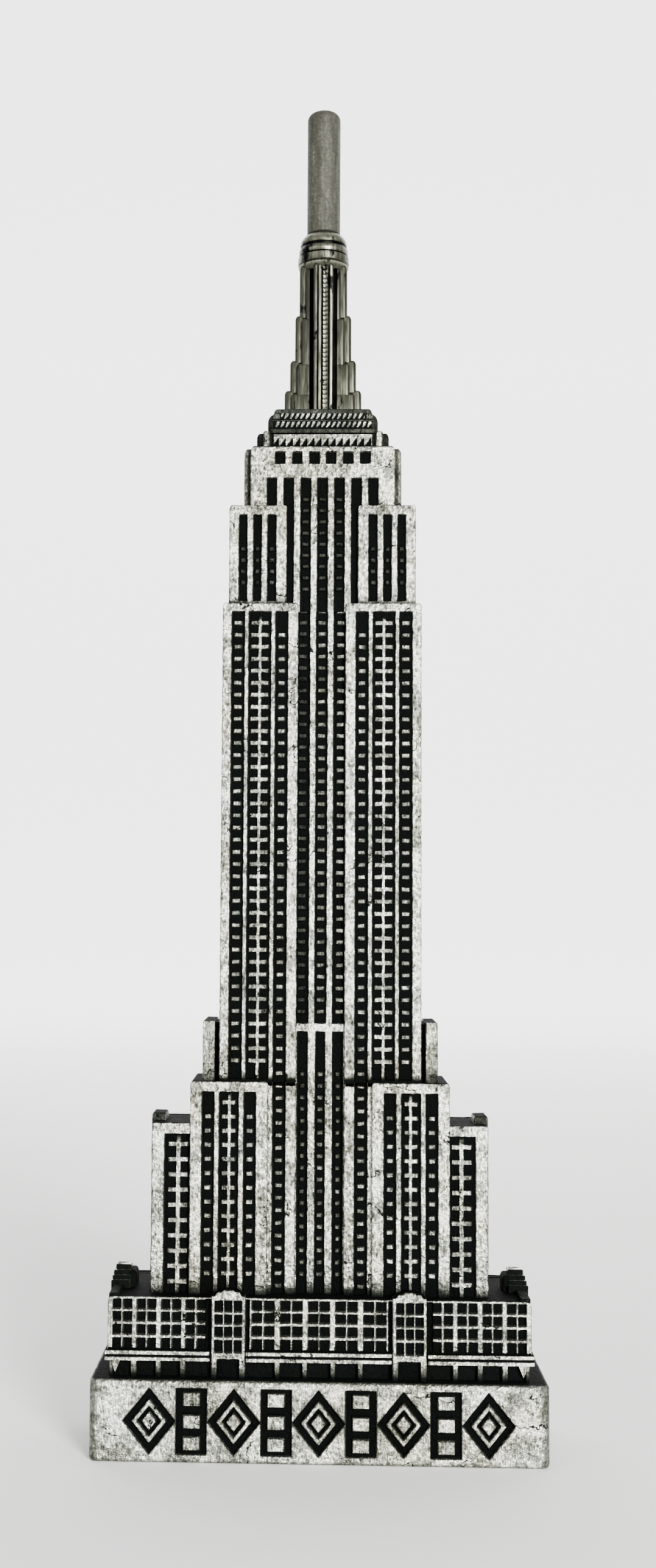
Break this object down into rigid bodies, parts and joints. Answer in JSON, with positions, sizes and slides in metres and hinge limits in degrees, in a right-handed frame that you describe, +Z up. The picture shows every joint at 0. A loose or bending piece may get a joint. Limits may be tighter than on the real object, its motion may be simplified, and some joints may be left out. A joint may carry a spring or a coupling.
{
  "type": "miniature skyscraper souvenir",
  "caption": "Miniature stepped skyscraper in antique silver die-cast metal: ornamented plinth, podium, winged tower, dentilled crown, finned mast and round antenna rod.",
  "frame": {"origin": "centre of the underside, on the surface that the object stands on", "axes": "+Z up along the tower, +X to the right seen from the front, the front faces -Y"},
  "size_m": [0.05, 0.0172, 0.1545],
  "materials": {
    "antique_silver": "die-cast zinc alloy with antique silver plating, raised faces brushed bright, recesses black",
    "gunmetal": "die-cast zinc alloy, polished gunmetal with black patches",
    "rod_metal": "dull grey plated zinc alloy rod",
    "steel": "zinc plated steel",
    "fibreboard": "dark fibreboard",
    "felt": "black wool felt"
  },
  "bodies": {
    "root": {"plinth": "antique_silver", "base_plate": "fibreboard", "base_pad": "felt", "podium": "antique_silver", "tower_front": "antique_silver", "tower_rear": "antique_silver", "locating_pins": "steel", "crown_cap": "antique_silver", "mast": "gunmetal", "antenna_rod": "rod_metal", "plinth_screws": "steel", "tower_screws": "steel"}
  },
  "joints": []
}
